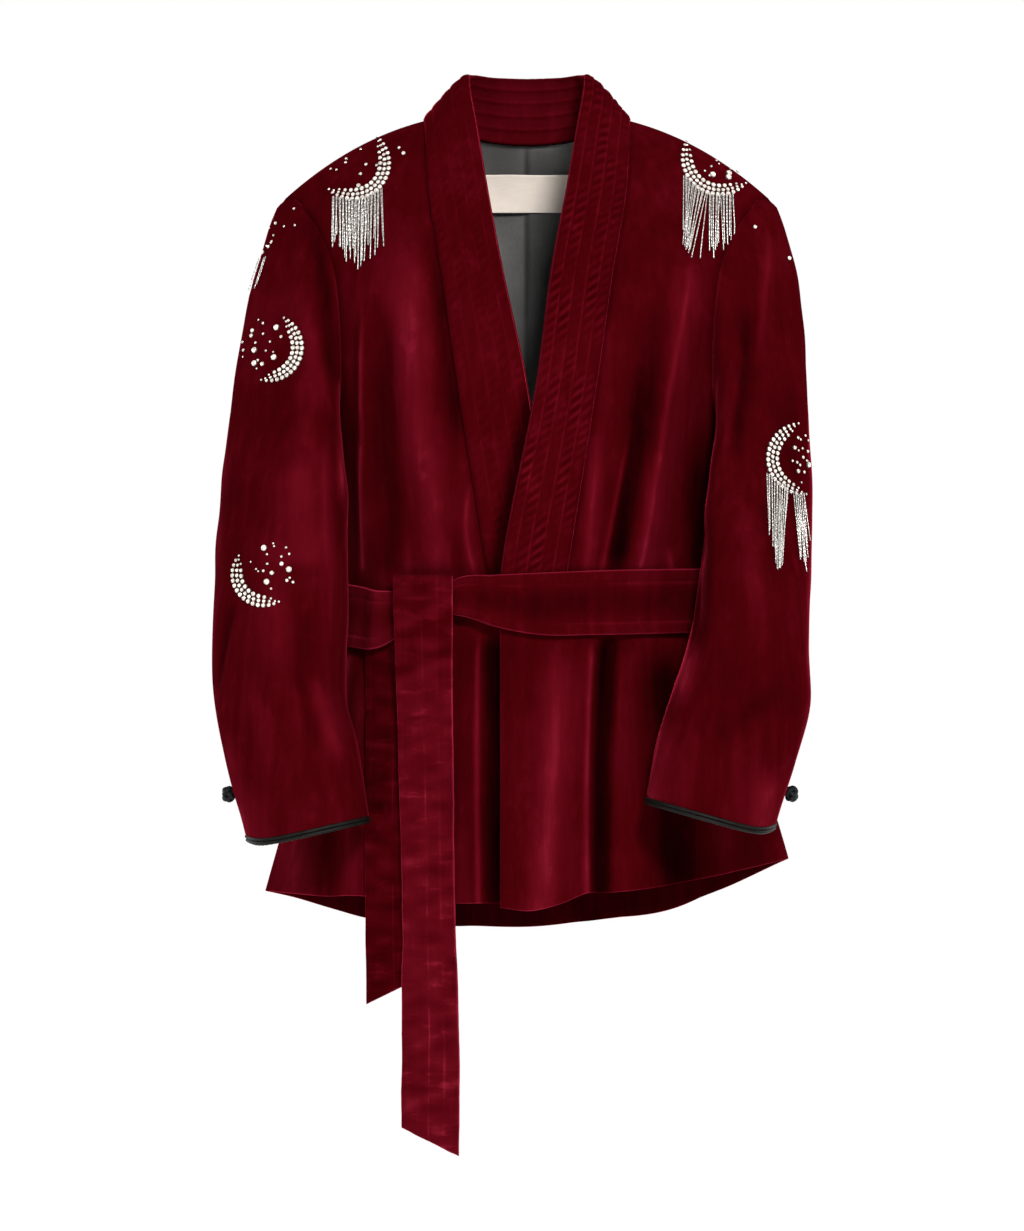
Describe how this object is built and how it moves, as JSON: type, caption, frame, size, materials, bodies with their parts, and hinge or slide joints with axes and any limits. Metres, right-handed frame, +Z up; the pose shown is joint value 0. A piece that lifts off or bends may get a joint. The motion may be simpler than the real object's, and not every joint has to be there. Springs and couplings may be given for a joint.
{
  "type": "velvet wrap jacket with belt",
  "caption": "Hip-length velvet wrap jacket filled out as worn, with a quilted band collar, long sleeves with corded cuffs, bead fringes and a tied belt.",
  "frame": {"origin": "middle of the neck between the shoulders, where a wearer carries the jacket", "axes": "+X to the wearer's left, -Y to the front, +Z up"},
  "size_m": [0.5379, 0.2889, 0.9695],
  "materials": {
    "velvet": "crimson pile velvet with a soft sheen",
    "band_velvet": "crimson velvet, quilted with rows of topstitching",
    "belt_velvet": "crimson velvet, slightly crushed",
    "lining": "charcoal satin lining",
    "label": "cream woven ribbon, bare",
    "cord": "dark satin cord",
    "knot": "black satin knot",
    "beads": "silvered glass beads and clear stones"
  },
  "bodies": {
    "root": {"front_left": "velvet", "front_right": "velvet", "back": "velvet", "sleeve_left_upper": "velvet", "sleeve_left_under": "velvet", "sleeve_right_upper": "velvet", "sleeve_right_under": "velvet", "collar_band": "band_velvet", "belt_waist": "belt_velvet", "belt_tail_front": "belt_velvet", "belt_tail_back": "belt_velvet", "lining_back": "lining", "label": "label", "cuff_cord_left": "cord", "cuff_cord_right": "cord", "cuff_knot_left": "knot", "cuff_knot_right": "knot", "fringe_shoulder_left": "beads", "fringe_shoulder_right": "beads", "fringe_sleeve_left_a": "beads", "fringe_sleeve_left_b": "beads", "fringe_sleeve_right": "beads"}
  },
  "joints": []
}
